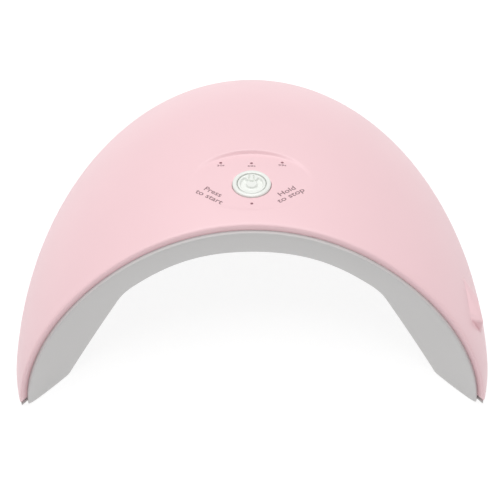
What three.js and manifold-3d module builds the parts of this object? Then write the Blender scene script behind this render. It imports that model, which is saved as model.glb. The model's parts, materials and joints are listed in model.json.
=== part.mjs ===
// A table-top uv led nail lamp: a pink dome over a white arch-shaped liner, with the lamp's
// electronics in the space between the two. Millimetres, +Z up, +X to the user's right, and the
// hand goes in along +Y through the arch at the front.
import * as THREE from 'three';
import { mergeVertices } from 'three/addons/utils/BufferGeometryUtils.js';
import Module from 'manifold-3d';

const wasm = await Module();
wasm.setup();

// ---- Driving dimensions -------------------------------------------------------------------
// Everything is laid out from the middle of the dome's ellipsoid, at table level.
const DOME = { halfWidth: 103, halfLength: 153, height: 75 };
const SHELL_WALL = 3;
const LIP = { depth: 4, drop: 0.4 };               // the shell's thicker front lip
const FIT_GAP = 0.3;                               // between parts that touch
const TABLE_GAP = 1.5;                             // the shell's rim stands this far off the table

const FRONT = { radius: 145.5, centreY: -126.7 };  // upright cylinder that hollows the front
const LINER = { wall: 1.8, frontPlate: 2.2, flange: 2, proud: 1, base: 0.7 };
const TUNNEL = {
  height: 57, kneeX: 53, kneeZ: 41.4, footX: 75.8, // half of the arch's outline, at frontY
  frontY: 19, backY: 98, backScale: 0.805, openY: -44,
};

const PANEL = { y: 43.2, tilt: THREE.MathUtils.degToRad(8) };  // the control panel's middle
const DISH = { halfWidth: 27, halfLength: 18.5, y: 46, slide: 9, lift: 0.7 };
const BUTTON = { radius: 8.2, proud: 0.9, gap: 0.4, recess: 6.3, flange: 9.6, flangeTop: -3.3 };
const BOARD = { width: 60, length: 36, thick: 1.6, top: -9.5 };
const BOARD_POST = { x: 26, radius: 2.6, pilot: 1.2, top: 6 };
const INDICATORS = [                               // on the panel, across and along it
  { name: 'left', x: -13.2, y: 15.3 },
  { name: 'middle', x: 0, y: 14.5 },
  { name: 'right', x: 13.2, y: 15.3 },
  { name: 'sensor', x: 0, y: -11.9 },
];
const PIPE = { radius: 0.55, hole: 0.85, collar: 1.6 };

const PORT = { faceX: 99, fromY: 0.5, fromZ: 5, toZ: 30.8, wall: 2.6 };
const SOCKET = { y: 7.8, z: 25.7, mouth: 3.3, width: 9, height: 8.4, depth: 14, bore: 2.4, pin: 0.9 };

const CASE_SCREWS = [[87, 35], [-87, 35], [34, 128], [-34, 128]];
const BOSS = { radius: 3.6, pilot: 1.5, top: 13 };
const SCREW = { shank: 1.2, head: 2.6, headHeight: 1.4, length: 9, hole: 1.6, recess: 3.0 };
const FEET = [[91, 0], [-91, 0], [73, 88], [-73, 88]];
const FOOT = { radius: 4.6, height: 2.0, seat: 0.8 };

const LED_BOARD = { standoff: 0.8, thick: 1.6, pin: 1.1, pinHole: 1.4, post: 2.4 };
const BEAD = { radius: 3.5, window: 4.0, proud: 1.5 };
const SENSOR = { radius: 1.5, window: 1.9, x: 5.4, y: 43 };
const LED_STRIPS = [                               // x, z: where each strip sits on the arch
  { name: 'centre', x: 0, z: 57, roll: 0, width: 18, length: 76, beads: [32, 52, 72, 92] },
  { name: 'shoulder_right', x: 42, z: 48, roll: 26.8, width: 14, length: 52, beads: [42, 74] },
  { name: 'shoulder_left', x: -42, z: 48, roll: -26.8, width: 14, length: 52, beads: [42, 74] },
  { name: 'side_right', x: 64.3, z: 20.8, roll: 61.1, width: 14, length: 50, beads: [38, 70] },
  { name: 'side_left', x: -64.3, z: 20.8, roll: -61.1, width: 14, length: 50, beads: [38, 70] },
];

// ---- Materials ----------------------------------------------------------------------------
const finish = (color, roughness, metalness = 0) =>
  new THREE.MeshStandardMaterial({ color, roughness, metalness });
const MATERIAL = {
  shell: finish(0xf4c9cf, 0.32),
  liner: finish(0xe9e7e4, 0.45),
  button: finish(0xf2f3ef, 0.3),
  rubber: finish(0x6a6a6c, 0.85),
  steel: finish(0xb9bcc0, 0.35, 1),
  circuit: finish(0x2f6b45, 0.55),
  aluminium: finish(0xd6d8da, 0.5, 0.6),
  lens: finish(0xd9d2f0, 0.15),
  indicator: finish(0x8a3b48, 0.3),
  black: finish(0x242426, 0.5),
  wire: finish(0xb8302c, 0.55),
  brass: finish(0xc9a45a, 0.35, 1),
};

// ---- Solids: joined and cut as manifolds, shown as geometries ------------------------------
function solid(geometry) {
  const bare = geometry.clone();
  bare.deleteAttribute('normal');
  bare.deleteAttribute('uv');
  const welded = mergeVertices(bare, 1e-4);
  const corners = welded.index.array;
  const triangles = [];
  for (let i = 0; i < corners.length; i += 3) {
    const [a, b, c] = [corners[i], corners[i + 1], corners[i + 2]];
    if (a !== b && b !== c && c !== a) triangles.push(a, b, c);
  }
  return new wasm.Manifold(new wasm.Mesh({
    numProp: 3,
    vertProperties: new Float32Array(welded.attributes.position.array),
    triVerts: new Uint32Array(triangles),
  }));
}

function geometryOf(body) {
  const mesh = body.getMesh();
  const geometry = new THREE.BufferGeometry();
  geometry.setAttribute('position', new THREE.BufferAttribute(mesh.vertProperties, 3));
  geometry.setIndex(new THREE.BufferAttribute(mesh.triVerts, 1));
  geometry.computeVertexNormals();
  return geometry;
}

const joined = (first, ...others) => others.reduce((sum, body) => sum.add(body), first);
const cut = (first, ...others) => others.reduce((rest, body) => rest.subtract(body), first);

const box = (width, length, height, x, y, z) =>
  new THREE.BoxGeometry(width, length, height).translate(x, y, z);

// An upright cylinder from one height to another.
function rod(radius, fromZ, toZ, x = 0, y = 0, sides = 20) {
  const geometry = new THREE.CylinderGeometry(radius, radius, toZ - fromZ, sides);
  return geometry.rotateX(Math.PI / 2).translate(x, y, (fromZ + toZ) / 2);
}

// A turned piece about Z, from [radius, height] pairs that go up from axis to axis.
function turned(profile, sides = 24) {
  const points = profile.map(([radius, height]) => new THREE.Vector2(radius, height));
  return new THREE.LatheGeometry(points, sides).rotateX(Math.PI / 2);
}

// The dome's ellipsoid, its surface moved in by the given amounts.
function ellipsoid(inset, topInset = inset, sides = 48) {
  const geometry = new THREE.SphereGeometry(1, sides, sides / 2).rotateX(Math.PI / 2);
  return geometry.scale(DOME.halfWidth - inset, DOME.halfLength - inset, DOME.height - topInset);
}

const frontCylinder = (radius) => rod(radius, -20, DOME.height + 20, 0, FRONT.centreY, 108);
const tableBlock = (topZ) => box(300, 400, 100, 0, 0, topZ - 50);

// ---- The tunnel that the hand goes into ----------------------------------------------------
const TAPER = (1 - TUNNEL.backScale) / (TUNNEL.backY - TUNNEL.frontY);
const tunnelScale = (y) => 1 - (y - TUNNEL.frontY) * TAPER;

// The arch's outline: straight up from the foot, round the knee and over a long crown.
function archOutline(wall) {
  const { height, kneeX, kneeZ, footX } = TUNNEL;
  const bottom = -10;
  const footwards = (footX - kneeX) / kneeZ;
  const half = new THREE.Path();
  half.moveTo(footX + wall * 1.15 - bottom * footwards, bottom);
  half.lineTo(kneeX + 1.8 + wall, kneeZ - 3.3 + wall * 0.4);
  half.quadraticCurveTo(kneeX + wall * 0.8, kneeZ + wall * 0.6,
    kneeX - 3.4 + wall * 0.7, kneeZ + 2.15 + wall * 0.8);
  half.bezierCurveTo(kneeX - 19.4, kneeZ + 12.3 + wall, 22, height + wall, 0, height + wall);
  const right = half.getPoints(6);
  const left = right.slice(0, -1).reverse().map(({ x, y }) => new THREE.Vector2(-x, y));
  return new THREE.Shape([...right, ...left]);
}

// The tunnel narrows evenly to its back, where it closes in a rounded end.
function tunnel(wall) {
  const back = TUNNEL.backY + wall;
  const stations = [[TUNNEL.openY, tunnelScale(TUNNEL.openY)], [back, TUNNEL.backScale],
    [back + 7, 0.76], [back + 12, 0.68], [back + 14, 0.58]];
  const steps = stations.length - 1;
  const geometry = new THREE.ExtrudeGeometry(archOutline(wall),
    { depth: steps, steps, bevelEnabled: false });
  const corners = geometry.attributes.position;
  for (let i = 0; i < corners.count; i += 1) {
    const [y, scale] = stations[steps - Math.round(corners.getZ(i))];
    corners.setXYZ(i, corners.getX(i) * scale, y, corners.getY(i) * scale);
  }
  return geometry;
}

// ---- Frames that pieces are placed in ------------------------------------------------------
const domeTop = (x, y, shiftY = 0, lift = 0) =>
  DOME.height * Math.sqrt(1 - (x / DOME.halfWidth) ** 2 - ((y + shiftY) / DOME.halfLength) ** 2) + lift;
const panelFloor = (x, y) => domeTop(x, y, DISH.slide, DISH.lift);

// The control panel's frame: its Z axis is the way the button comes up.
function panelFrame() {
  const frame = new THREE.Group();
  frame.position.set(0, PANEL.y, panelFloor(0, PANEL.y));
  frame.rotation.x = -PANEL.tilt;
  frame.updateMatrix();
  return frame;
}

// A strip's frame: Y runs along the tunnel's taper and Z points out of the tunnel.
function stripFrame(strip, y) {
  const roll = THREE.MathUtils.degToRad(strip.roll);
  const along = new THREE.Vector3(-strip.x * TAPER, 1, -strip.z * TAPER).normalize();
  const across = new THREE.Vector3(Math.cos(roll), 0, -Math.sin(roll));
  const outward = across.cross(along).normalize();
  const side = along.clone().cross(outward);
  const frame = new THREE.Group();
  frame.quaternion.setFromRotationMatrix(new THREE.Matrix4().makeBasis(side, along, outward));
  frame.position.set(strip.x * tunnelScale(y), y, strip.z * tunnelScale(y));
  frame.updateMatrix();
  return frame;
}

const panel = panelFrame();
const placed = (geometry, frame) => geometry.applyMatrix4(frame.matrix);
const stripMiddle = (strip) => (strip.beads[0] + strip.beads.at(-1)) / 2;
const pinPlaces = (strip) => [-1, 1].map((end) => end * (strip.length / 2 - 4));

// ---- The assembly --------------------------------------------------------------------------
const lamp = new THREE.Group();
lamp.add(panel);

function addPart(name, geometry, material, parent = lamp) {
  const mesh = new THREE.Mesh(geometry, material);
  mesh.name = name;
  parent.add(mesh);
}

// ---- Top shell -----------------------------------------------------------------------------
// The dish round the button: level with the dome at its front edge, and sunk at its back.
function dishCutter() {
  const outline = new THREE.CylinderGeometry(1, 1, 40, 48).rotateX(Math.PI / 2);
  outline.scale(DISH.halfWidth, DISH.halfLength, 1).translate(0, DISH.y, DOME.height + 5);
  const floor = ellipsoid(0).translate(0, -DISH.slide, DISH.lift);
  return solid(outline).subtract(solid(floor));
}

// The socket's pad: a nearly flat face that runs out into the dome on a ramp towards the back.
function portPad() {
  const { faceX, fromY, fromZ, toZ } = PORT;
  const plan = new THREE.Shape([[faceX - 20, fromY], [faceX, fromY], [faceX - 1.5, 13],
    [faceX - 7, 23], [faceX - 20, 23]].map(([x, y]) => new THREE.Vector2(x, y)));
  const pad = new THREE.ExtrudeGeometry(plan, { depth: toZ - fromZ, bevelEnabled: false });
  return pad.translate(0, 0, fromZ);
}

function sidewaysRod(radius, fromX, toX, y, z, sides = 24) {
  const geometry = new THREE.CylinderGeometry(radius, radius, toX - fromX, sides);
  return geometry.rotateZ(Math.PI / 2).translate((fromX + toX) / 2, y, z);
}

function screwBosses(skin) {
  const floor = TABLE_GAP + LINER.flange + FIT_GAP;
  return CASE_SCREWS.map(([x, y]) => {
    const boss = solid(rod(BOSS.radius, floor, DOME.height, x, y)).intersect(skin);
    return boss.subtract(solid(rod(BOSS.pilot, 0, BOSS.top, x, y, 12)));
  });
}

function boardPosts(skin) {
  return [-BOARD_POST.x, BOARD_POST.x].map((x) => {
    const post = rod(BOARD_POST.radius, BOARD.top + FIT_GAP, BOARD_POST.top, x, 0, 16);
    const pilot = rod(BOARD_POST.pilot, BOARD.top - 1, BOARD.top + 5, x, 0, 12);
    return solid(placed(post, panel)).intersect(skin).subtract(solid(placed(pilot, panel)));
  });
}

function topShell() {
  const { radius } = FRONT;
  const hollow = cut(solid(ellipsoid(SHELL_WALL)), solid(frontCylinder(radius + LIP.depth)));
  const lipHollow = solid(ellipsoid(SHELL_WALL, SHELL_WALL + LIP.drop));
  const socketPocket = box(SOCKET.depth + 8, SOCKET.width + 0.8, SOCKET.height + 0.8,
    PORT.faceX - PORT.wall - (SOCKET.depth + 8) / 2, SOCKET.y, SOCKET.z);
  const shell = cut(joined(solid(ellipsoid(0)), solid(portPad())), hollow, lipHollow,
    solid(frontCylinder(radius)), solid(tableBlock(TABLE_GAP)), dishCutter(), solid(socketPocket),
    solid(sidewaysRod(SOCKET.mouth, PORT.faceX - 5, PORT.faceX + 5, SOCKET.y, SOCKET.z)));
  const skin = solid(ellipsoid(SHELL_WALL / 2));
  const bored = joined(shell, ...screwBosses(skin), ...boardPosts(skin));
  const bores = INDICATORS.map(({ x, y }) => rod(PIPE.hole, -8, 6, x, y, 10));
  bores.push(rod(BUTTON.radius + BUTTON.gap, -8, 6, 0, 0, 40));
  return geometryOf(cut(bored, ...bores.map((bore) => solid(placed(bore, panel)))));
}
addPart('top_shell', topShell(), MATERIAL.shell);

// ---- Inner liner ---------------------------------------------------------------------------
// Posts that carry each LED board, with a pin on top that goes through the board.
function stripPosts(strip) {
  const frame = stripFrame(strip, stripMiddle(strip));
  const under = LINER.wall + LED_BOARD.standoff;
  return pinPlaces(strip).flatMap((y) => [
    rod(LED_BOARD.post, LINER.wall / 2, under - FIT_GAP, 0, y, 10),
    rod(LED_BOARD.pin, LINER.wall / 2, under + LED_BOARD.thick + 0.8, 0, y, 8),
  ].map((post) => solid(placed(post, frame))));
}

function stripWindows(strip) {
  return strip.beads.map((y) =>
    solid(placed(rod(BEAD.window, -4, 5, 0, 0, 16), stripFrame(strip, y))));
}

function sensorWindows() {
  const frame = stripFrame(LED_STRIPS[0], SENSOR.y);
  return [-SENSOR.x, SENSOR.x].map((x) =>
    solid(placed(rod(SENSOR.window, -4, 5, x, 0, 12), frame)));
}

function innerLiner() {
  const inset = SHELL_WALL + FIT_GAP;
  const faceRadius = FRONT.radius - LINER.proud;
  const block = cut(solid(ellipsoid(inset, inset + LIP.drop)), solid(frontCylinder(faceRadius)),
    solid(tableBlock(LINER.base)));
  const bay = cut(solid(ellipsoid(0)), solid(frontCylinder(faceRadius + LINER.frontPlate)),
    solid(tableBlock(TABLE_GAP + LINER.flange)), solid(tunnel(LINER.wall)));
  const holes = CASE_SCREWS.flatMap(([x, y]) => [
    solid(rod(SCREW.hole, 0, 10, x, y, 12)), solid(rod(SCREW.recess, 0, TABLE_GAP + 0.9, x, y, 16))]);
  const seats = FEET.map(([x, y]) =>
    solid(rod(FOOT.radius + FIT_GAP, 0, TABLE_GAP + FOOT.seat, x, y, 20)));
  const body = joined(cut(block, bay), ...LED_STRIPS.flatMap(stripPosts));
  return geometryOf(cut(body, solid(tunnel(0)), ...holes, ...seats,
    ...LED_STRIPS.flatMap(stripWindows), ...sensorWindows()));
}
addPart('inner_liner', innerLiner(), MATERIAL.liner);

// ---- Button and its switch -----------------------------------------------------------------
const CAP = { skin: 1.4, skirt: 1.3, bottom: -4.5, step: 0.9 };
const SWITCH = { width: 6, height: 3, actuator: 1.7, travel: 0.6, stroke: 2 };
const PLUNGER = { radius: 3, top: -1.8, bottom: -5.5 };
const SWITCH_TOP = BOARD.top + FIT_GAP + SWITCH.height;

function buttonCap() {
  const { radius, proud, recess, flange, flangeTop } = BUTTON;
  const inner = radius - CAP.skirt;
  return turned([
    [0, -CAP.skin], [inner, -CAP.skin], [inner, CAP.bottom], [flange, CAP.bottom],
    [flange, flangeTop], [radius, flangeTop], [radius, proud - 0.5], [radius - 0.5, proud],
    [recess, proud - 0.3], [recess, proud - CAP.step], [0, proud - CAP.step],
  ], 36);
}

const CORE = { radius: BUTTON.recess - FIT_GAP, foot: BUTTON.proud - CAP.step + FIT_GAP, top: 0.7 };
addPart('button_cap', buttonCap(), MATERIAL.button, panel);
addPart('button_core', rod(CORE.radius, CORE.foot, CORE.top, 0, 0, 32), MATERIAL.button, panel);
addPart('button_plunger', rod(PLUNGER.radius, PLUNGER.bottom, PLUNGER.top), MATERIAL.black, panel);
addPart('switch_actuator',
  rod(SWITCH.actuator, SWITCH_TOP - SWITCH.stroke + SWITCH.travel + FIT_GAP, PLUNGER.bottom - FIT_GAP),
  MATERIAL.black, panel);

function switchBody() {
  const body = box(SWITCH.width, SWITCH.width, SWITCH.height, 0, 0, SWITCH_TOP - SWITCH.height / 2);
  const well = rod(SWITCH.actuator + 0.15, SWITCH_TOP - SWITCH.stroke, SWITCH_TOP + 1);
  return geometryOf(solid(body).subtract(solid(well)));
}
addPart('switch_body', switchBody(), MATERIAL.steel, panel);

// ---- Control board and what is on it --------------------------------------------------------
function controlBoard() {
  const board = box(BOARD.width, BOARD.length, BOARD.thick, 0, 0, BOARD.top - BOARD.thick / 2);
  const holes = [-BOARD_POST.x, BOARD_POST.x].map((x) =>
    solid(rod(SCREW.shank + 0.2, BOARD.top - 4, BOARD.top + 2, x, 0, 12)));
  return geometryOf(cut(solid(board), ...holes));
}
addPart('control_board', controlBoard(), MATERIAL.circuit, panel);

// Width, length, height and place of each component on the board's top face.
const COMPONENTS = [
  ['controller_chip', 6, 5, 1.6, -18, -8, MATERIAL.black],
  ['driver_chip', 5, 4, 1.5, 16, -9, MATERIAL.black],
  ['inductor', 6, 6, 3, 18, 4, MATERIAL.black],
  ['lead_connector_left', 5, 7, 3, -25, 9.5, MATERIAL.liner],
  ['lead_connector_right', 5, 7, 3, 25, 9.5, MATERIAL.liner],
];
for (const [name, width, length, height, x, y, material] of COMPONENTS) {
  const middle = BOARD.top + FIT_GAP + height / 2;
  addPart(name, box(width, length, height, x, y, middle), material, panel);
}

function boardScrew(x) {
  const under = BOARD.top - BOARD.thick - FIT_GAP;
  return turned([[0, under - 1.4], [1.9, under - 1.4], [1.9, under], [0.9, under],
    [0.9, BOARD.top + 4], [0, BOARD.top + 4.6]], 16).translate(x, 0, 0);
}
addPart('board_screw_left', boardScrew(-BOARD_POST.x), MATERIAL.steel, panel);
addPart('board_screw_right', boardScrew(BOARD_POST.x), MATERIAL.steel, panel);

// Each indicator is a small lamp on the board under a clear pipe that ends in the dish.
const INDICATOR_LAMP = { size: 1.8, height: 0.8 };
function lightPipe({ x, y }) {
  const turn = new THREE.Vector3(x, y, 0).applyMatrix4(panel.matrix);
  const top = (panelFloor(turn.x, turn.y) - turn.z) / Math.cos(PANEL.tilt);
  const foot = BOARD.top + INDICATOR_LAMP.height + 2 * FIT_GAP;
  const neck = top - SHELL_WALL - 1.6;
  return turned([[0, foot], [PIPE.collar, foot], [PIPE.collar, neck], [PIPE.radius, neck],
    [PIPE.radius, top], [0, top]], 12).translate(x, y, 0);
}
for (const place of INDICATORS) {
  const { size, height } = INDICATOR_LAMP;
  const middle = BOARD.top + FIT_GAP + height / 2;
  addPart(`indicator_lamp_${place.name}`, box(size, size, height, place.x, place.y, middle),
    MATERIAL.lens, panel);
  addPart(`light_pipe_${place.name}`, lightPipe(place), MATERIAL.indicator, panel);
}

// ---- LED boards, their beads and the hand sensor --------------------------------------------
const LED_BOARD_BOTTOM = LINER.wall + LED_BOARD.standoff;

function ledBoard(strip) {
  const { thick, pinHole } = LED_BOARD;
  const board = box(strip.width, strip.length, thick, 0, 0, LED_BOARD_BOTTOM + thick / 2);
  const holes = pinPlaces(strip).map((y) =>
    solid(rod(pinHole, LED_BOARD_BOTTOM - 2, LED_BOARD_BOTTOM + thick + 2, 0, y, 12)));
  return geometryOf(cut(solid(board), ...holes));
}

// A lens that looks down into the tunnel, on a square base under the board.
function bead() {
  const top = LED_BOARD_BOTTOM - FIT_GAP;
  const { radius, proud } = BEAD;
  return turned([[0, -proud], [radius * 0.55, 0.45 - proud], [radius * 0.85, 1.4 - proud],
    [radius, 2.6 - proud], [radius, top], [0, top]], 16);
}

function sensorBead(x) {
  const top = LED_BOARD_BOTTOM - FIT_GAP;
  const { radius } = SENSOR;
  return turned([[0, -0.8], [radius * 0.7, -0.5], [radius, 0.3], [radius, top], [0, top]], 14)
    .translate(x, 0, 0);
}

let beadNumber = 0;
for (const strip of LED_STRIPS) {
  const middle = stripFrame(strip, stripMiddle(strip));
  lamp.add(middle);
  addPart(`led_board_${strip.name}`, ledBoard(strip), MATERIAL.aluminium, middle);
  for (const y of strip.beads) {
    const frame = stripFrame(strip, y);
    lamp.add(frame);
    beadNumber += 1;
    addPart(`uv_led_${String(beadNumber).padStart(2, '0')}`, bead(), MATERIAL.lens, frame);
  }
}
const sensorFrame = stripFrame(LED_STRIPS[0], SENSOR.y);
lamp.add(sensorFrame);
addPart('sensor_emitter', sensorBead(-SENSOR.x), MATERIAL.lens, sensorFrame);
addPart('sensor_receiver', sensorBead(SENSOR.x), MATERIAL.black, sensorFrame);

// ---- Power socket ---------------------------------------------------------------------------
const SOCKET_FACE = PORT.faceX - PORT.wall - FIT_GAP;

function socketBody() {
  const { width, height, depth, bore, y, z } = SOCKET;
  const body = box(depth, width, height, SOCKET_FACE - depth / 2, y, z);
  const nose = sidewaysRod(SOCKET.mouth - 0.4, SOCKET_FACE - 1, PORT.faceX - 1.6, y, z);
  const well = sidewaysRod(bore, SOCKET_FACE - 10, PORT.faceX + 2, y, z);
  return geometryOf(cut(joined(solid(body), solid(nose)), solid(well)));
}
addPart('power_socket', socketBody(), MATERIAL.black);
addPart('socket_pin', sidewaysRod(SOCKET.pin, SOCKET_FACE - 9.7, SOCKET_FACE - 0.5, SOCKET.y, SOCKET.z, 12),
  MATERIAL.brass);

// ---- Leads ----------------------------------------------------------------------------------
function lead(points, radius) {
  const route = new THREE.CatmullRomCurve3(points.map((point) => new THREE.Vector3(...point)));
  const section = new THREE.Shape().absarc(0, 0, radius, 0, 2 * Math.PI);
  return new THREE.ExtrudeGeometry(section,
    { extrudePath: route, steps: 18, curveSegments: 4, bevelEnabled: false });
}
const LED_LEAD = [[33, 53.5, 59.5], [42, 55, 56.5], [56, 56, 46.5], [64.5, 56, 36], [65.5, 56, 28.4],
  [61.1, 56, 23.85]];
addPart('led_lead_right', lead(LED_LEAD, 1), MATERIAL.wire);
addPart('led_lead_left', lead(LED_LEAD.map(([x, y, z]) => [-x, y, z]), 1), MATERIAL.wire);
addPart('power_lead', lead([[80.7, 7.8, 25.7], [77.2, 9, 31], [70, 13, 40], [56, 20, 51.5], [42, 26, 58.5],
  [32.5, 28, 61.5]], 1.1), MATERIAL.black);

// ---- Screws and feet --------------------------------------------------------------------------
function caseScrew(x, y) {
  const seat = TABLE_GAP + 0.9 - FIT_GAP;
  const { shank, head, headHeight, length } = SCREW;
  return turned([[0, seat - headHeight], [head, seat - headHeight], [head, seat], [shank, seat],
    [shank, seat + length - 1], [0, seat + length]], 20).translate(x, y, 0);
}

function foot(x, y) {
  const { radius, height } = FOOT;
  return turned([[0, 0], [radius - 0.5, 0], [radius, 0.5], [radius, height], [0, height]])
    .translate(x, y, 0);
}
const CORNERS = ['front_right', 'front_left', 'rear_right', 'rear_left'];
CORNERS.forEach((corner, i) => {
  addPart(`case_screw_${corner}`, caseScrew(...CASE_SCREWS[i]), MATERIAL.steel);
  addPart(`foot_${corner}`, foot(...FEET[i]), MATERIAL.rubber);
});

// The origin is under the middle of the lamp's footprint, on the table.
lamp.updateMatrixWorld(true);
const extent = new THREE.Box3().setFromObject(lamp, true);
lamp.position.y = -(extent.min.y + extent.max.y) / 2;

export default lamp;
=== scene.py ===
# %% [markdown]
# # A nail lamp, from a measured model to a finished picture
# The lamp is a pink dome over a white arch. A hand goes in at the front, and violet lamps in the
# roof of the arch set the varnish on its nails. The measured model gives the size and the place of
# every piece. Here each visible piece gets its fine surface, and every piece gets its finish.
# First comes the measured model itself. It is the fixed frame that everything below is built round,
# and its box is kept, because the finished pieces have to stay inside it.

# %% Load the fixed frame
import json
import math

import bpy
import numpy as np
from mathutils import Matrix, Vector

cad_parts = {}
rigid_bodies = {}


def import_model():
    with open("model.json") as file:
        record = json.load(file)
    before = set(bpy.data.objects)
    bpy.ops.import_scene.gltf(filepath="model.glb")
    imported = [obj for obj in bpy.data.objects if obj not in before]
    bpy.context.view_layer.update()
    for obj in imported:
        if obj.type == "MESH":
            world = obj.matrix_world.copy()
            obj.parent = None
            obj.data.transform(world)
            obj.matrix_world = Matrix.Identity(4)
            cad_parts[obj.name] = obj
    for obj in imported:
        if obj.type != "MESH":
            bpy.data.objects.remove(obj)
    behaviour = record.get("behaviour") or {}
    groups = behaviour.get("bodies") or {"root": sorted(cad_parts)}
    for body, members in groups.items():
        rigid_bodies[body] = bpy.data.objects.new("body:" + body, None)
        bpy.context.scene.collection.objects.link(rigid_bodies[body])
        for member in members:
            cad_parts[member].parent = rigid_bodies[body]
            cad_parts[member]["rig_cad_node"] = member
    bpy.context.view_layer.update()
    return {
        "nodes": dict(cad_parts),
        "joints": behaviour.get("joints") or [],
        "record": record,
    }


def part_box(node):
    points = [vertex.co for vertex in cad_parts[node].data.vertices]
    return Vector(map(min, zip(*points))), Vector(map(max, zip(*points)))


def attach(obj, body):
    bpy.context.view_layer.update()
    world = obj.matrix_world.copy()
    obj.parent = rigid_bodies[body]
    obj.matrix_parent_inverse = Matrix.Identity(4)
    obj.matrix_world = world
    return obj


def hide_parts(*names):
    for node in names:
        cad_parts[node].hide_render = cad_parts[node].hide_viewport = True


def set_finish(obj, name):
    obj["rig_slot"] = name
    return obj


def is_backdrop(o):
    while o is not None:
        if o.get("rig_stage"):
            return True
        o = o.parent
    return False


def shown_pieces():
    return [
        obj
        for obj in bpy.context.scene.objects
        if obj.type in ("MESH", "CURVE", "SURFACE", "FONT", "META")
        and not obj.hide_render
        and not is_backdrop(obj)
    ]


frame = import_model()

# %% [markdown]
# ## The measures that shape the lamp
# The dome is half of an ellipsoid that stands on the table, and an upright cylinder hollows its
# front into a crescent. Heights and widths are taken from the middle of that ellipsoid. The two
# front feet stand exactly on its middle plane, so their box says where it is.

# %% Driving measures, in metres
MM = 0.001
DOME = (103 * MM, 153 * MM, 75 * MM)
WALL = 3 * MM
LIP_INSET = (3.6 * MM, 3.4 * MM)      # the front lip is thicker than the wall: sideways, and down
LIP_DEPTH = 4 * MM
TABLE_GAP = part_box("top_shell")[0].z
FRONT_RADIUS = 145.5 * MM
FRONT_CENTRE = -126.7 * MM
LINER_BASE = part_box("inner_liner")[0].z
CREASE = math.radians(35)             # edges sharper than this stay crisp
scene = bpy.context.scene
middle_y = sum(corner.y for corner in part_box("foot_front_right")) / 2
print("middle plane at y =", round(middle_y * 1000, 2), "mm")
print("rim above the table:", round(TABLE_GAP * 1000, 2), "mm")

# %% [markdown]
# ## Camera, floor and light
# The lamp is seen from in front and from well above, with a long lens from 0.8 m. The light is that
# of a small product studio: one wide soft box overhead and a little behind, and a bright room all
# round. The floor is a shooting table of milky acrylic that is lit from below, so shadows stay
# faint on it and the white arch gets light from the front and from under.

# %% Camera
VIEW_ELEVATION = math.radians(53)
VIEW_TURN = math.radians(-0.28)
VIEW_DISTANCE = 0.8
aim = Vector((-0.73 * MM, middle_y + 38.7 * MM, 30.9 * MM))
toward = Vector((math.sin(VIEW_TURN) * math.cos(VIEW_ELEVATION),
                 -math.cos(VIEW_TURN) * math.cos(VIEW_ELEVATION), math.sin(VIEW_ELEVATION)))
camera = bpy.data.objects.new("camera", bpy.data.cameras.new("camera"))
camera.data.sensor_width = 36
camera.data.lens = 131.3
camera.data.clip_start = 0.05
camera.location = aim + toward * VIEW_DISTANCE
camera.rotation_euler = (-toward).to_track_quat("-Z", "Y").to_euler()
scene.collection.objects.link(camera)
scene.camera = camera

# %% Floor
bpy.ops.mesh.primitive_plane_add(size=6, location=(0, 0, 0))
floor = bpy.context.object
floor.name = "floor"
floor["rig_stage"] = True

# %% Soft box and bright room
SOFT_BOX_PLACE = Vector((-0.1, 0.2, 1.3))
LIT_POINT = Vector((0, 0, 0.04))
soft_light = bpy.data.lights.new("overhead_soft_box", "AREA")
soft_light.shape = "DISK"
soft_light.size = 1.4
soft_light.energy = 13
soft_box = bpy.data.objects.new("overhead_soft_box", soft_light)
soft_box.location = SOFT_BOX_PLACE
soft_box.rotation_euler = (LIT_POINT - SOFT_BOX_PLACE).to_track_quat("-Z", "Y").to_euler()
scene.collection.objects.link(soft_box)

room = bpy.data.worlds.new("room")
room.use_nodes = True
room.node_tree.nodes["Background"].inputs["Color"].default_value = (1.0, 1.0, 1.0, 1)
room.node_tree.nodes["Background"].inputs["Strength"].default_value = 0.42
scene.world = room
scene.view_settings.view_transform = "Standard"
print("camera at", [round(c, 3) for c in camera.location])

# %% [markdown]
# ## Small helpers
# A piece starts as a coarse cage or profile, and a stack of modifiers finishes it. Where a stack
# has to be settled, for a cut or for a piece that is made at its own origin and then placed, its
# result becomes the mesh. All pieces end up with their object at the origin and their place in the
# mesh.


# %% Objects from points, and settling a stack
def new_piece(name, points, faces, edges=()):
    mesh = bpy.data.meshes.new(name)
    mesh.from_pydata([tuple(p) for p in points], list(edges), list(faces))
    mesh.polygons.foreach_set("use_smooth", [True] * len(mesh.polygons))
    piece = bpy.data.objects.new(name, mesh)
    scene.collection.objects.link(piece)
    return piece


def band(first, second, count):
    """Quads between two closed rings of points, from the number of each ring's first point."""
    return [(first + k, first + (k + 1) % count, second + (k + 1) % count, second + k)
            for k in range(count)]


def settle(piece, place=None):
    """The stack's result becomes the mesh, moved to its place."""
    bpy.context.view_layer.update()
    settled = bpy.data.meshes.new_from_object(
        piece.evaluated_get(bpy.context.evaluated_depsgraph_get()))
    piece.modifiers.clear()
    if piece.type == "MESH":
        piece.data = settled
    else:
        name, curve = piece.name, piece
        piece = bpy.data.objects.new(name + "_mesh", settled)
        scene.collection.objects.link(piece)
        bpy.data.objects.remove(curve)
        piece.name = name
    if place is not None:
        piece.data.transform(place)
    return piece


def round_edges(piece, width, segments=2, angle=35):
    bevel = piece.modifiers.new("rounded edges", "BEVEL")
    bevel.width = width
    bevel.segments = segments
    bevel.limit_method = "ANGLE"
    bevel.angle_limit = math.radians(angle)
    bevel.use_clamp_overlap = True


def smooth_out(piece):
    surface = piece.modifiers.new("smooth surface", "SUBSURF")
    surface.levels = 1
    surface.render_levels = 1


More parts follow.
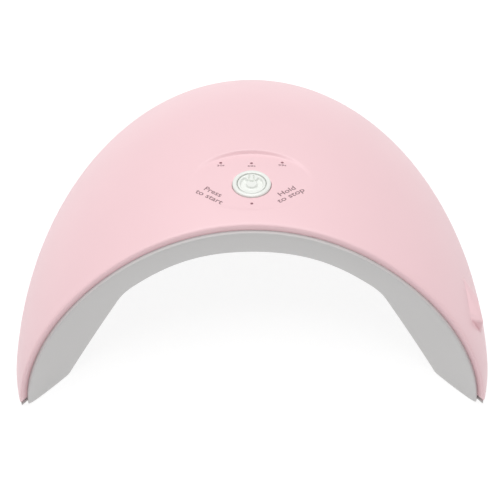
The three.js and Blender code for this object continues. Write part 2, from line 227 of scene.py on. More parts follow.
def shape_with(piece, tool, operation="DIFFERENCE"):
    """Cuts the tool out of the piece, or joins it on, and removes the tool."""
    step = piece.modifiers.new("shape", "BOOLEAN")
    step.operation = operation
    step.solver = "MANIFOLD"
    step.object = tool
    settle(piece)
    bpy.data.objects.remove(tool)


# %% Turned pieces, and straight pins to cut with
def turned(name, profile, place, corner, steps=48):
    """Spins a profile, listed from top to bottom, about Z, and puts the result in its place."""
    edges = [(i, i + 1) for i in range(len(profile) - 1)]
    piece = new_piece(name, [(r, 0, z) for r, z in profile], [], edges)
    bevel = piece.modifiers.new("soft corners", "BEVEL")
    bevel.affect = "VERTICES"
    bevel.limit_method = "NONE"
    bevel.width = corner
    bevel.segments = 3
    spin = piece.modifiers.new("turn", "SCREW")
    spin.steps = steps
    spin.render_steps = steps
    spin.use_merge_vertices = True
    spin.merge_threshold = 1e-6
    spin.use_smooth_shade = True
    return settle(piece, place)


def pins(name, places, radius, low, high, sides=32):
    """Straight pins along Z of each place, in one mesh, to cut holes with."""
    points, faces = [], []
    for place in places:
        first = len(points)
        ring = [(radius * math.cos(a), radius * math.sin(a))
                for a in np.linspace(0, 2 * math.pi, sides, endpoint=False)]
        points += [place @ Vector((x, y, low)) for x, y in ring]
        points += [place @ Vector((x, y, high)) for x, y in ring]
        faces.append([first + i for i in reversed(range(sides))])
        faces.append([first + sides + i for i in range(sides)])
        faces += band(first, first + sides, sides)
    return new_piece(name, points, faces)


# %% [markdown]
# ## The dome's surface as a formula
# A soft dish surrounds the button. Its floor is the dome itself, slid forward and lifted a little,
# so it meets the dome at the front and lies deepest at the back, where it ends in a short wall.


# %% Heights of the dome and of the dish
DISH = {"half_width": 26 * MM, "half_length": 18.5 * MM, "y": 46 * MM,
        "slide": 10.5 * MM, "lift": 0.7 * MM, "fade": 1.2 * MM}
DISH_WALL = (0.93, 1.04)      # its wall starts and ends at these shares of the dish's reach


def dome_axes(inset, top_inset):
    return DOME[0] - inset, DOME[1] - inset, DOME[2] - top_inset


def dome_height(x, y, inset=0.0, top_inset=None):
    a, b, c = dome_axes(inset, inset if top_inset is None else top_inset)
    return c * math.sqrt(max(0.0, 1 - (x / a) ** 2 - (y / b) ** 2))


def ease(t):
    t = min(1.0, max(0.0, t))
    return t * t * (3 - 2 * t)


def shell_height(x, y):
    dome = dome_height(x, y)
    reach = math.hypot(x / DISH["half_width"], (y - DISH["y"]) / DISH["half_length"])
    inside = ease((DISH_WALL[1] - reach) / (DISH_WALL[1] - DISH_WALL[0]))
    if not inside:
        return dome
    rise = DISH["lift"] + DISH["fade"] * (x / DISH["half_width"]) ** 2
    dish = min(dome, dome_height(x, y + DISH["slide"]) + rise)
    return dome - (dome - dish) * inside


# %% The control panel's own frame: Z is the way the button comes up
PANEL_Y = 43.2 * MM
button_axis = -Vector(frame["joints"][0]["axis"])
panel_tilt = math.atan2(button_axis.y, button_axis.z)
panel = (Matrix.Translation((0, middle_y + PANEL_Y, shell_height(0, PANEL_Y)))
         @ Matrix.Rotation(-panel_tilt, 4, "X"))
print("panel tilt", round(math.degrees(panel_tilt), 2), "degrees")


def on_panel(x, y, z=0.0):
    """A point of the panel's frame, measured from the dome's middle."""
    point = panel @ Vector((x, y, z))
    return Vector((point.x, point.y - middle_y, point.z))


# %% [markdown]
# ## Top shell
# The shell is one pink moulding about 3 mm thick. Its cage is a web of rings: they start at the
# button's hole, follow the dish, and then spread until they lie on the rim, half of each on the
# table side and half along the arched front. That puts edge loops where light breaks: at the hole,
# at the dish's wall and round the rim. The rim is rounded by rings of its own, because it is broad
# along the front and almost sharp at the table. A plainer web inside closes the cage.

# %% The rim as a closed line round the shell
RIM_STEPS = 72
FRONT_STEPS = 48
TIP_SQUEEZE = 0.016
TIP_START = 6 * MM
TIP_LENGTH = 15 * MM


def front_y(x, proud=0.0):
    return FRONT_CENTRE + math.sqrt((FRONT_RADIUS - proud) ** 2 - x * x)


def drawn_in(point):
    """The tips of the crescent lean inwards a little, more and more towards their front."""
    forward = min(1.3, max(0.0, -point.y - TIP_START) / TIP_LENGTH)
    return Vector((point.x * (1 - TIP_SQUEEZE * forward ** 1.5), point.y, point.z))


def in_place(points):
    """Points measured from the dome's middle, with the tips drawn in, in the fixed frame."""
    return [(p.x, p.y + middle_y, p.z) for p in map(drawn_in, points)]


def front_tip(inset, top_inset, proud=0.0, base=TABLE_GAP):
    """Where the front meets the table side, as x and y."""
    a, b, c = dome_axes(inset, top_inset)
    level = math.sqrt(1 - (base / c) ** 2)
    x = a
    for _ in range(12):
        x = a * math.sqrt(level ** 2 - (front_y(x, proud) / b) ** 2)
    return x, front_y(x, proud), level


def rim_line(inset, top_inset, proud=0.0, base=TABLE_GAP):
    """Points round the rim: the table side from right to left, then the front back again."""
    a, b = DOME[0] - inset, DOME[1] - inset
    tip_x, tip_y, level = front_tip(inset, top_inset, proud, base)
    tip = math.atan2(tip_y / b, tip_x / a)
    line = []
    for turn in np.linspace(tip, math.pi - tip, RIM_STEPS, endpoint=False):
        line.append(Vector((a * level * math.cos(turn), b * level * math.sin(turn), base)))
    for turn in np.linspace(math.pi, 0, FRONT_STEPS, endpoint=False):
        x = tip_x * math.cos(turn)
        y = front_y(x, proud)
        line.append(Vector((x, y, max(base, dome_height(x, y, inset, top_inset)))))
    return line


# %% From a point on the dome to its map, and back
# The map is flat, with the top of the dome at its middle and the table at its edge.
def to_map(point, inset, top_inset):
    a, b, c = dome_axes(inset, top_inset)
    x, y, z = point.x / a, point.y / b, point.z / c
    lean = math.atan2(math.hypot(x, y), z)
    turn = math.atan2(y, x)
    return Vector((lean * math.cos(turn), lean * math.sin(turn)))


def from_map(spot, inset, top_inset):
    a, b, c = dome_axes(inset, top_inset)
    lean, turn = spot.length, math.atan2(spot.y, spot.x)
    return Vector((a * math.sin(lean) * math.cos(turn), b * math.sin(lean) * math.sin(turn),
                   c * math.cos(lean)))


# %% Rings of the web
HOLE_RADIUS = 8.38 * MM
WEB_START = 1.16


def ring_angles():
    """Directions of the web's spokes, with a spoke on each tip of the crescent."""
    dish_middle = Vector((0, DISH["y"], dome_height(0, DISH["y"])))
    tip = to_map(rim_line(0, 0)[0], 0, 0) - to_map(dish_middle, 0, 0)
    low = math.atan2(tip.y, tip.x)
    table_side = np.linspace(low, math.pi - low, RIM_STEPS, endpoint=False)
    front_side = np.linspace(math.pi - low, 2 * math.pi + low, FRONT_STEPS, endpoint=False)
    return list(table_side) + list(front_side)


def dish_ring(reach):
    """A ring round the dish, as plan positions: 1 is the dish's edge, and 0 the button's hole."""
    ring = []
    for a in ring_angles():
        edge = Vector((DISH["half_width"] * math.cos(a),
                       DISH["half_length"] * math.sin(a) + DISH["y"]))
        hole = Vector((HOLE_RADIUS * math.cos(a),
                       HOLE_RADIUS * math.cos(panel_tilt) * math.sin(a) + PANEL_Y))
        ring.append(hole.lerp(edge, reach))
    return ring


def bore_ring(radius, depth):
    """A ring in the button's bore, this far below the dish along the button's axis."""
    ring = []
    for a in ring_angles():
        x, y = radius * math.cos(a), radius * math.cos(panel_tilt) * math.sin(a) + PANEL_Y
        ring.append(Vector((x, y - depth * math.sin(panel_tilt), shell_height(x, y) - depth)))
    return ring


# %% The rim's rounding
FRONT_ROUND = 1.6 * MM
TABLE_ROUND = 0.6 * MM
ROUND_RUN = 4                 # rim steps over which one rounding passes into the other
INNER_LOOP = 0.15 * MM


def bezier(points, t):
    points = [Vector(p) for p in points]
    while len(points) > 1:
        points = [a.lerp(b, t) for a, b in zip(points, points[1:])]
    return points[0]


def rim_rings():
    """The rounded rim, from the dome over its corner and across its face to the inner edge."""
    back = rim_line(0, 0, -FRONT_ROUND, TABLE_GAP + TABLE_ROUND)
    corner, inner = rim_line(0, 0), rim_line(*LIP_INSET)
    face, near = [], []
    for k, (p, q) in enumerate(zip(corner, inner)):
        from_tip = min(k - RIM_STEPS, RIM_STEPS + FRONT_STEPS - k) / ROUND_RUN
        radius = TABLE_ROUND + (FRONT_ROUND - TABLE_ROUND) * ease(from_tip)
        face.append(p + (q - p).normalized() * radius)
        near.append(q + (p - q).normalized() * INNER_LOOP)
    rings = [back]
    for t in (0.25, 0.5, 0.75):
        rings.append([bezier(three, t) for three in zip(back, corner, face)])
    return rings + [face, near, inner]


# %% Rings that spread over the dome
def raised(plan, height):
    return [Vector((p.x, p.y, height(p.x, p.y))) for p in plan]


def spread(start, end, shares, inset):
    """Rings between two rings of the dome, at these shares of the way over the flat map."""
    start, end = ([to_map(p, inset, inset) for p in ring] for ring in (start, end))
    return [[from_map(s.lerp(e, t), inset, inset) for s, e in zip(start, end)] for t in shares]


# %% Outer and inner face
BORE_RINGS = [(0, 2.4), (0, 0.3), (0.05, 0.08), (0.28, 0)]    # beyond the hole, and down, in mm
DISH_REACHES = [0.06, 0.14, 0.3, 0.5, 0.68, 0.8, 0.88, 0.92, 0.95, 0.98, 1.01, 1.04, 1.07, 1.11]


def outside_rings():
    """The outer face, from the bore over the dish and the dome, with the rim's rounding."""
    rings = [bore_ring(HOLE_RADIUS + wider * MM, depth * MM) for wider, depth in BORE_RINGS]
    rings += [raised(dish_ring(reach), shell_height) for reach in DISH_REACHES]
    end = rim_line(0, 0, -FRONT_ROUND, TABLE_GAP + TABLE_ROUND)
    rings += spread(raised(dish_ring(WEB_START), dome_height), end,
                    [0, 0.03, 0.07, *np.linspace(0.12, 0.94, 17), 0.975], 0)
    return rings + rim_rings()


def inside_rings():
    """The inner face, from the front lip back to the bore."""
    rings = [rim_line(*LIP_INSET, -0.2 * MM, TABLE_GAP + 0.2 * MM),
             rim_line(*LIP_INSET, -LIP_DEPTH, TABLE_GAP + 3 * MM)]
    end = rim_line(WALL, WALL, -LIP_DEPTH - 0.4 * MM, TABLE_GAP + 3.4 * MM)
    rings += spread(raised(dish_ring(0.85), lambda x, y: dome_height(x, y, WALL)), end,
                    [1, 0.96, *np.linspace(0.9, 0.1, 10), 0], WALL)
    for reach in [0.45, 0.15, 0]:
        shift = WALL * math.sin(panel_tilt) * (1 - reach)
        rings.append([Vector((p.x, p.y - shift, dome_height(p.x, p.y - shift, WALL)))
                      for p in dish_ring(reach)])
    return rings


# %% Build the shell's cage and finish it
rings = outside_rings() + inside_rings()
around = RIM_STEPS + FRONT_STEPS
faces = []
for r in range(len(rings)):
    after = (r + 1) % len(rings)
    for k in range(around):
        k2 = (k + 1) % around
        faces.append((r * around + k, after * around + k, after * around + k2, r * around + k2))
shell = new_piece("pink_shell", in_place([p for ring in rings for p in ring]), faces)
smooth_out(shell)
settle(shell)
print("shell cage:", len(faces), "faces, finished:", len(shell.data.polygons))

# %% [markdown]
# The socket's pad is a low block on the right side wall: a flat face for the plug, which runs out
# into the dome on a ramp. It is a bevelled prism that is joined on, and then the socket's mouth and
# the four indicator holes are cut.

# %% The socket's pad
PAD = {"face_x": 99 * MM, "z": (5 * MM, 30.8 * MM), "slope": 0.4, "drop": 1.2 * MM}
PAD_PLAN = [(-20, 0.5), (0, 0.5), (-1.5, 13), (-7, 23), (-20, 23)]      # x from the face, y, in mm


def prism(name, outline, low, high):
    """An upright prism on a plan outline that is listed counterclockwise."""
    count = len(outline)
    corners = [(x, y, z) for z in (low, high) for x, y in outline]
    ends = [tuple(reversed(range(count))), tuple(range(count, 2 * count))]
    return new_piece(name, corners, ends + band(0, count, count))


def block(name, low, high):
    outline = [(low[0], low[1]), (high[0], low[1]), (high[0], high[1]), (low[0], high[1])]
    return prism(name, outline, low[2], high[2])


pad = prism("pad", [(PAD["face_x"] + x * MM, middle_y + y * MM) for x, y in PAD_PLAN], *PAD["z"])
for vertex in pad.data.vertices:
    if vertex.co.z > PAD["z"][0]:
        vertex.co.z += (PAD["face_x"] - vertex.co.x) * PAD["slope"] - PAD["drop"]
round_edges(pad, 1.3 * MM, segments=5)
settle(pad)
shape_with(shell, pad, "UNION")

# %% The socket's mouth and the indicator holes
socket_low, socket_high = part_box("socket_pin")
socket_y, socket_z = (socket_low.y + socket_high.y) / 2, (socket_low.z + socket_high.z) / 2
socket_place = (Matrix.Translation((PAD["face_x"], socket_y, socket_z))
                @ Matrix.Rotation(math.radians(90), 4, "Y"))
MOUTH_RADIUS = 3.3 * MM
HOLE_IN_SHELL = 0.66 * MM


def behind_pad(name, front, back, half_width, half_height):
    """A block in line with the socket, between two depths behind the pad's face."""
    return block(name, (PAD["face_x"] - back, socket_y - half_width, socket_z - half_height),
                 (PAD["face_x"] - front, socket_y + half_width, socket_z + half_height))


shape_with(shell, pins("mouth", [socket_place], MOUTH_RADIUS, -6 * MM, 3 * MM))
shape_with(shell, behind_pad("pocket", 2.6 * MM, 24 * MM, 4.9 * MM, 4.6 * MM))


def node_points(node):
    return np.array([v.co for v in frame["nodes"][node].data.vertices])


INDICATORS = ["left", "middle", "right", "sensor"]
pipe_places = []
for name in INDICATORS:
    centre = Vector(node_points("light_pipe_" + name).mean(0))
    spot = panel.inverted() @ centre
    pipe_places.append(panel @ Matrix.Translation((spot.x, spot.y, 0)))
shape_with(shell, pins("indicator_holes", pipe_places, HOLE_IN_SHELL, -7 * MM, 4 * MM, sides=24))
shell.data.set_sharp_from_angle(angle=CREASE)
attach(shell, "housing")
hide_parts("top_shell")
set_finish(shell, "shell")
print("shell faces:", len(shell.data.polygons))

# %% [markdown]
# ## Inner liner
# The white liner is a second moulding. It shows as the band under the pink rim, turns into the
# arch and runs back as a tunnel that narrows, and its bottom edge spreads out into a flat flange
# with the feet and the screws. It is modelled as one sheet, row after row from the rim to the back
# wall, with close rows where the band's outer edge is rounded, and then given its thickness.

# %% The arch's outline, half by half
TUNNEL = {"height": 57 * MM, "knee_x": 53 * MM, "knee_z": 41.4 * MM, "foot_x": 75.8 * MM,
          "front_y": 19 * MM, "back_y": 98 * MM, "back_scale": 0.805}
ARCH_STEPS = 96
LINER_PROUD = 1 * MM          # the band stands this far in front of the shell at the arch
EDGE_PROUD = 1.8 * MM         # and this far under the pink rim


def evenly(line, steps):
    """The same line with its points at even distances."""
    lengths = np.concatenate([[0], np.cumsum([(b - a).length for a, b in zip(line, line[1:])])])
    wanted = np.linspace(0, lengths[-1], steps + 1)
    xs = np.interp(wanted, lengths, [p.x for p in line])
    ys = np.interp(wanted, lengths, [p.y for p in line])
    return [Vector((x, y)) for x, y in zip(xs, ys)]


def arch_outline():
    """The arch from its right foot over the top to its left foot, as x and z."""
    t = TUNNEL
    foot, knee = Vector((t["foot_x"], 0)), (t["knee_x"], t["knee_z"])
    knee_in = (t["knee_x"] + 1.8 * MM, t["knee_z"] - 3.3 * MM)
    knee_out = (t["knee_x"] - 3.4 * MM, t["knee_z"] + 2.15 * MM)
    shoulder = (t["knee_x"] - 19.4 * MM, t["knee_z"] + 12.3 * MM)
    crown = [knee_out, shoulder, (22 * MM, t["height"]), (0, t["height"])]
    half = [foot.lerp(Vector(knee_in), s) for s in np.linspace(0, 1, 20)]
    half += [bezier([knee_in, knee, knee_out], s) for s in np.linspace(0, 1, 9)[1:]]
    half += [bezier(crown, s) for s in np.linspace(0, 1, 40)[1:]]
    right = evenly(half, ARCH_STEPS // 2)
    return right + [Vector((-p.x, p.y)) for p in reversed(right[:-1])]


def taper(y):
    """The tunnel's scale at a depth: it narrows evenly towards its closed end."""
    t = TUNNEL
    return 1 - (y - t["front_y"]) * (1 - t["back_scale"]) / (t["back_y"] - t["front_y"])


def arch_row(scale):
    """The outline at a scale, with its two ends on the flange's underside."""
    row = [p * scale for p in arch_outline()]
    lean = (TUNNEL["foot_x"] - TUNNEL["knee_x"]) / TUNNEL["knee_z"]
    foot = TUNNEL["foot_x"] * scale - LINER_BASE * lean
    row[0], row[-1] = Vector((foot, LINER_BASE)), Vector((-foot, LINER_BASE))
    return [Vector((p.x, max(p.y, LINER_BASE))) for p in row]


# %% Rows of the sheet
RETURN_STOPS = [3.9 * MM, 2.6 * MM, 0.9 * MM]      # rows of the return, from behind to the edge
LEDGE_STEPS = (0.3, 0.65, 1)
EDGE_ROUND = 0.9 * MM
FACE_STOPS = [0.12, 0.25, 0.5, 0.75, 0.9, 0.96, 1]
FACE_CROWN = 0.35 * MM
TOE = {"bulge": 1.3 * MM, "height": 18 * MM}
DEPTH_STOPS = [0.009, 0.04, 0.12, 0.3, 0.5, 0.7, 0.86, 0.96, 1]
BACK_ROWS = [(103.5 * MM, 0.785), (107.5 * MM, 0.75), (110.5 * MM, 0.70), (112 * MM, 0.64)]
BACK_WALL = [0.9, 0.6, 0.3]
JOINT_GAP = 0.03 * MM
LINER_INSET = (LIP_INSET[0] + JOINT_GAP, LIP_INSET[1] + JOINT_GAP)


def edge_row(proud):
    """The liner's outer edge under the shell, with the front cylinder proud by this much."""
    tip_x = front_tip(*LINER_INSET, proud, LINER_BASE)[0]
    row = []
    for turn in np.linspace(0, math.pi, ARCH_STEPS + 1):
        x = tip_x * math.cos(turn)
        y = front_y(x, proud)
        row.append(Vector((x, y, max(LINER_BASE, dome_height(x, y, *LINER_INSET)))))
    return row


def face_rows():
    """The white face, from under the pink rim down to the arch's edge, fuller at the toes."""
    outer, outline = edge_row(EDGE_PROUD), arch_outline()
    inner = []
    for k in range(ARCH_STEPS + 1):
        scale = 1.0
        for _ in range(6):      # place and scale depend on each other, and soon agree
            x, z = arch_row(scale)[k] if k in (0, ARCH_STEPS) else outline[k] * scale
            scale = taper(front_y(x, LINER_PROUD))
        inner.append(Vector((x, front_y(x, LINER_PROUD), z)))
    rows = []
    ledge = edge_row(EDGE_PROUD - EDGE_ROUND)
    for step in LEDGE_STEPS:
        rows.append([bezier([a, b, b + (c - b).normalized() * EDGE_ROUND], step)
                     for a, b, c in zip(ledge, outer, inner)])
    for f in FACE_STOPS:
        arc = math.sin(math.pi * f) ** 0.7 if f < 1 else 0
        row = []
        for a, b in zip(outer, inner):
            p = a.lerp(b, f)
            swell = FACE_CROWN + TOE["bulge"] * max(0.0, 1 - p.z / TOE["height"]) ** 2
            proud = LINER_PROUD + (EDGE_PROUD - LINER_PROUD) * (1 - f)
            row.append(Vector((p.x, front_y(p.x, proud) - swell * arc, p.z)))
        rows.append(row)
    return rows


def tunnel_rows(face_edge):
    """The walls of the tunnel from the face to its closed end."""
    rows = []
    back = TUNNEL["back_y"]
    outline = arch_outline()
    for t in DEPTH_STOPS:
        row = []
        for k, edge in enumerate(face_edge):
            y = edge.y + (back - edge.y) * t
            x, z = arch_row(taper(y))[k] if k in (0, ARCH_STEPS) else outline[k] * taper(y)
            row.append(Vector((x, y, max(z, LINER_BASE))))
        rows.append(row)
    for y, scale in BACK_ROWS:
        rows.append([Vector((p.x, y, p.y)) for p in arch_row(scale)])
    last = rows[-1]
    for q in BACK_WALL:
        rows.append([Vector((p.x * q, p.y, LINER_BASE + (p.z - LINER_BASE) * q)) for p in last])
    return rows


# %% The flange fills the space between the tunnel's foot and the shell
FLANGE_STOPS = [0.12, 0.37, 0.63, 0.88]


def flange_side(path, side):
    """Rows from one side's foot line out to the rim. The path starts at the front tip."""
    a, b = DOME[0] - LINER_INSET[0], DOME[1] - LINER_INSET[0]
    level = math.sqrt(1 - (LINER_BASE / (DOME[2] - LINER_INSET[1])) ** 2)
    returns = [edge_row(EDGE_PROUD - stop)[0] for stop in reversed(RETURN_STOPS)]
    rim = [Vector((side * p.x, p.y, p.z)) for p in returns]
    first, close_rows = len(rim) - 1, len(FACE_STOPS) + len(LEDGE_STEPS)
    start = math.asin(rim[-1].y / (b * level))
    steps = [(q - p).length * (0.35 if i + first < close_rows else 1)
             for i, (p, q) in enumerate(zip(path[first:], path[first + 1:]))]
    share = np.cumsum(steps) / sum(steps)
    rim += [Vector((side * a * level * math.cos(t), b * level * math.sin(t), LINER_BASE))
            for t in start + (math.pi / 2 - start) * share]
    return [[p.lerp(q, f) for p, q in zip(path, rim)] for f in (*FLANGE_STOPS, 1)]


rows = [edge_row(EDGE_PROUD - stop) for stop in RETURN_STOPS]
ledge_row = len(rows) - 1
rows += face_rows()
rows += tunnel_rows(rows[-1])
wide = ARCH_STEPS + 1
sheet_points = [p for row in rows for p in row]
sheet_faces = [(r * wide + k, r * wide + k + 1, (r + 1) * wide + k + 1, (r + 1) * wide + k)
               for r in range(len(rows) - 1) for k in range(wide - 1)]
centre_foot = len(sheet_points)
sheet_points.append(Vector((0, BACK_ROWS[-1][0], LINER_BASE)))
last = (len(rows) - 1) * wide
sheet_faces += [(last + k, last + k + 1, centre_foot) for k in range(wide - 1)]

for side, column in ((1, 0), (-1, wide - 1)):
    line = [r * wide + column for r in range(ledge_row, len(rows))] + [centre_foot]
    for row in flange_side([sheet_points[i] for i in line], side):
        fresh = [line[0]] + list(range(len(sheet_points), len(sheet_points) + len(row) - 1))
        sheet_points += row[1:]
        for i in range(len(row) - 1):
            quad = (line[i], line[i + 1], fresh[i + 1], fresh[i])
            quad = quad if side > 0 else tuple(reversed(quad))
            sheet_faces.append(quad if i else tuple(dict.fromkeys(quad)))
        line = fresh

# %% Join the two flange halves, thicken the sheet and finish it
LINER_WALL = 1.9 * MM
liner = new_piece("white_liner", in_place(sheet_points), sheet_faces)
weld = liner.modifiers.new("close the middle seam", "WELD")
weld.merge_threshold = 0.01 * MM
skin = liner.modifiers.new("wall", "SOLIDIFY")
skin.thickness = LINER_WALL
skin.offset = -1
skin.use_even_offset = True
skin.thickness_clamp = 1.0
smooth_out(liner)
settle(liner)
print("liner faces:", len(liner.data.polygons))

# %% [markdown]
# The windows for the lamps, the feet's seats and the screws' recesses are cut from the finished
# sheet. Each window looks square to its board, so the board's flattest direction gives the cut.


# %% Where each lamp looks
def board_frame(board, node):
    """A frame at a lamp's middle, with Z out of the tunnel, square to the lamp's board."""
    flat = node_points(board)
    _, _, axes = np.linalg.svd(flat - flat.mean(0), full_matrices=False)
    outward, along = Vector(axes[2]), Vector(axes[0])
    outward *= 1 if outward.z > 0 else -1
    along *= 1 if along.y > 0 else -1
    across = along.cross(outward).normalized()
    centre = Vector(node_points(node).mean(0))
    turn = Matrix((across, along, outward)).transposed().to_4x4()
    return Matrix.Translation(centre) @ turn


LAMPS_ON_BOARD = {"centre": (1, 2, 3, 4), "shoulder_right": (5, 6), "shoulder_left": (7, 8),
                  "side_right": (9, 10), "side_left": (11, 12)}
lamp_frames = {}
for board, numbers in LAMPS_ON_BOARD.items():
    for node in [f"uv_led_{number:02d}" for number in numbers]:
        lamp_frames[node] = board_frame("led_board_" + board, node)
sensor_frames = [board_frame("led_board_centre", node)
                 for node in ("sensor_emitter", "sensor_receiver")]
WINDOW_RADIUS = 4 * MM
SENSOR_WINDOW_RADIUS = 1.9 * MM
shape_with(liner, pins("windows", lamp_frames.values(), WINDOW_RADIUS, -6 * MM, 4 * MM))
shape_with(liner, pins("sensor_windows", sensor_frames, SENSOR_WINDOW_RADIUS, -6 * MM, 4 * MM,
                       sides=24))

# %% Seats for the feet and recesses for the screws
CORNERS = ["front_right", "front_left", "rear_right", "rear_left"]


def upright(node):
    low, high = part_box(node)
    return Matrix.Translation(((low.x + high.x) / 2, (low.y + high.y) / 2, 0))


foot_places = {corner: upright("foot_" + corner) for corner in CORNERS}
screw_places = {corner: upright("case_screw_" + corner) for corner in CORNERS}
ROUND_CUTS = [("seats", foot_places, 4.9, 0, 2.05), ("recesses", screw_places, 3, 0, 2.1),
              ("screw_holes", screw_places, 1.6, 1, 8)]      # radius, lowest and highest, in mm
for name, places, radius, low, high in ROUND_CUTS:
    shape_with(liner, pins(name, places.values(), radius * MM, low * MM, high * MM))
liner.data.set_sharp_from_angle(angle=CREASE)
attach(liner, "housing")
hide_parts("inner_liner")
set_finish(liner, "liner")

# %% [markdown]
# The liner also has a low base rim that closes the joint under the shell's edge. It runs from one
# tip round the back to the other, and shows as a thin light line between the pink and the table.

# %% Base rim
BASE_OUTER, BASE_INNER = 0.6 * MM, 4.6 * MM
BASE_TOP = TABLE_GAP - 0.05 * MM
base_outer = rim_line(BASE_OUTER, BASE_OUTER, 0, LINER_BASE)[:RIM_STEPS + 1]
base_inner = rim_line(BASE_INNER, BASE_INNER, 0, LINER_BASE)[:RIM_STEPS + 1]
base_points, base_faces = [], []
for a, b in zip(base_outer, base_inner):
    for p, z in ((a, LINER_BASE), (a, BASE_TOP), (b, BASE_TOP), (b, LINER_BASE)):
        base_points.append(Vector((p.x, p.y, z)))
for k in range(0, 4 * RIM_STEPS, 4):
    base_faces += [(k + i, k + 4 + i, k + 4 + (i + 1) % 4, k + (i + 1) % 4) for i in range(4)]
base_faces += [(0, 1, 2, 3), tuple(4 * RIM_STEPS + i for i in (3, 2, 1, 0))]
base_rim = new_piece("base_rim", in_place(base_points), base_faces)
round_edges(base_rim, 0.2 * MM)
settle(base_rim)
base_rim.data.set_sharp_from_angle(angle=math.radians(40))
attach(base_rim, "housing")
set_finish(base_rim, "liner")

# %% [markdown]
# ## Button
# The button is a pearl-white cap with a broad, slightly raised ring. Inside the ring a thin groove
# sets off a disc with the power symbol: an open ring is pressed into the disc, and a bar stands up
# in the opening. The cap has a small dimple above the bar, which shows which way round it goes.

# %% Cap
CAP_PROFILE = [(0, -0.6), (6.3, -0.6), (6.3, 0.72), (6.65, 0.96), (7.3, 1.02), (7.85, 0.9),
               (8.2, 0.5), (8.2, -3.4), (9.6, -3.4), (9.6, -4.5), (6.9, -4.5), (6.9, -1.6),
               (0, -1.6)]      # radius and height, in mm


def scaled(profile):
    return [(r * MM, z * MM) for r, z in profile]


cap = turned("button_ring", scaled(CAP_PROFILE), panel, corner=0.12 * MM, steps=72)
dimple_place = panel @ Matrix.Translation((0, 6.95 * MM, 0)) @ Matrix.Diagonal((1.5, 1, 1, 1))
shape_with(cap, pins("dimple", [dimple_place], 0.34 * MM, 0.62 * MM, 3 * MM, sides=20))
cap.data.set_sharp_from_angle(angle=CREASE)
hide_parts("button_cap")

# %% Disc with the open ring pressed into it
DISC_RADIUS = 5.98            # all in mm, but the symbol's opening, which is in degrees
DISC_UNDERSIDE = -0.55
DISC_RINGS = [0.6, 1.1, 1.5, 1.9, 2.15, 2.3, 2.45, 2.7, 3.1, 3.55, 4.0, 4.4, 4.6, 4.8, 4.95, 5.2,
              5.5, 5.8, DISC_RADIUS]
DISC_STEPS = 96
RING_MIDDLE, RING_HALF, RING_GAP, RING_DEPTH = 3.55, 1.2, 36, 1.1
BAR_HALF, BAR_FROM, BAR_TO = 0.7, 1.7, 5.1


def disc_height(radius, turn):
    """Height of the disc in mm. The turn is measured from the symbol's opening, in degrees."""
    crown = 0.8 - 0.2 * (radius / DISC_RADIUS) ** 2
    across = abs(radius - RING_MIDDLE) / RING_HALF
    along = ease((min(turn, 360 - turn) - RING_GAP) / 6)
    x, y = radius * math.sin(math.radians(turn)), radius * math.cos(math.radians(turn))
    beside = ease((BAR_HALF + 0.6 - abs(x)) / 0.35)
    lengthwise = ease((y - BAR_FROM + 0.5) / 0.3) * ease((BAR_TO + 0.35 - y) / 0.3)
    return crown - RING_DEPTH * max(ease((1.2 - across) / 0.35) * along, 0.75 * beside * lengthwise)


def ring_of_points(radius, height):
    turns = [360 * step / DISC_STEPS for step in range(DISC_STEPS)]
    return [(radius * math.sin(math.radians(t)), radius * math.cos(math.radians(t)),
             height(radius, t)) for t in turns]


disc_points = [(0, 0, disc_height(0, 0))]
for radius in DISC_RINGS:
    disc_points += ring_of_points(radius, disc_height)
for radius in (DISC_RADIUS, 3):
    disc_points += ring_of_points(radius, lambda r, t: DISC_UNDERSIDE)
disc_points.append((0, 0, DISC_UNDERSIDE))
disc_faces = [(0, 1 + (k + 1) % DISC_STEPS, 1 + k) for k in range(DISC_STEPS)]
for ring in range(len(DISC_RINGS) + 1):
    disc_faces += band(1 + ring * DISC_STEPS, 1 + (ring + 1) * DISC_STEPS, DISC_STEPS)
last_ring = 1 + (len(DISC_RINGS) + 1) * DISC_STEPS
disc_faces += [(last_ring + k, last_ring + (k + 1) % DISC_STEPS, len(disc_points) - 1)
               for k in range(DISC_STEPS)]
disc = new_piece("button_disc", [(x * MM, y * MM, z * MM) for x, y, z in disc_points], disc_faces)
smooth_out(disc)
disc = settle(disc, panel)
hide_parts("button_core")

# %% The symbol's bar stands up in the opening
symbol_bar = block("symbol_bar", (-BAR_HALF * MM, BAR_FROM * MM, -0.3 * MM),
                   (BAR_HALF * MM, BAR_TO * MM, 0.95 * MM))
round_edges(symbol_bar, 0.2 * MM, segments=3)
symbol_bar = settle(symbol_bar, panel)
for piece in (cap, disc, symbol_bar):
    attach(piece, "button")
    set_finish(piece, "button")

# %% [markdown]
# ## Printing on the panel
# Small dark words stand on either side of the button, and each indicator has its time in seconds.
# The words are text objects made into thin meshes, and each of their points is then set on the
# shell's surface, so that the print follows the dish.

# %% Print that follows the surface
INK_LIFT = 0.02 * MM
INK_DEPTH = 0.03 * MM


def printed(name, words, x, y, turn, size, length):
    """Words of a given length, turned about their middle at x, y on the panel."""
    text = bpy.data.curves.new(name, "FONT")
    text.body = words
    text.size = size
    text.align_x = "CENTER"
    text.align_y = "CENTER"
    text.extrude = INK_DEPTH / 2
    text.resolution_u = 3
    text.offset = 0.012 * size
    text_object = bpy.data.objects.new(name, text)
    scene.collection.objects.link(text_object)
    piece = settle(text_object)
    across = [vertex.co.x for vertex in piece.data.vertices]
    stretch = length / (max(across) - min(across))
    for vertex in piece.data.vertices:
        flat = Matrix.Rotation(turn, 2) @ Vector((vertex.co.x * stretch, vertex.co.y))
        spot = on_panel(x + flat.x, y + flat.y)
        height = shell_height(spot.x, spot.y) + INK_LIFT + vertex.co.z
        vertex.co = (spot.x, spot.y + middle_y, height)
    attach(piece, "housing")
    return piece


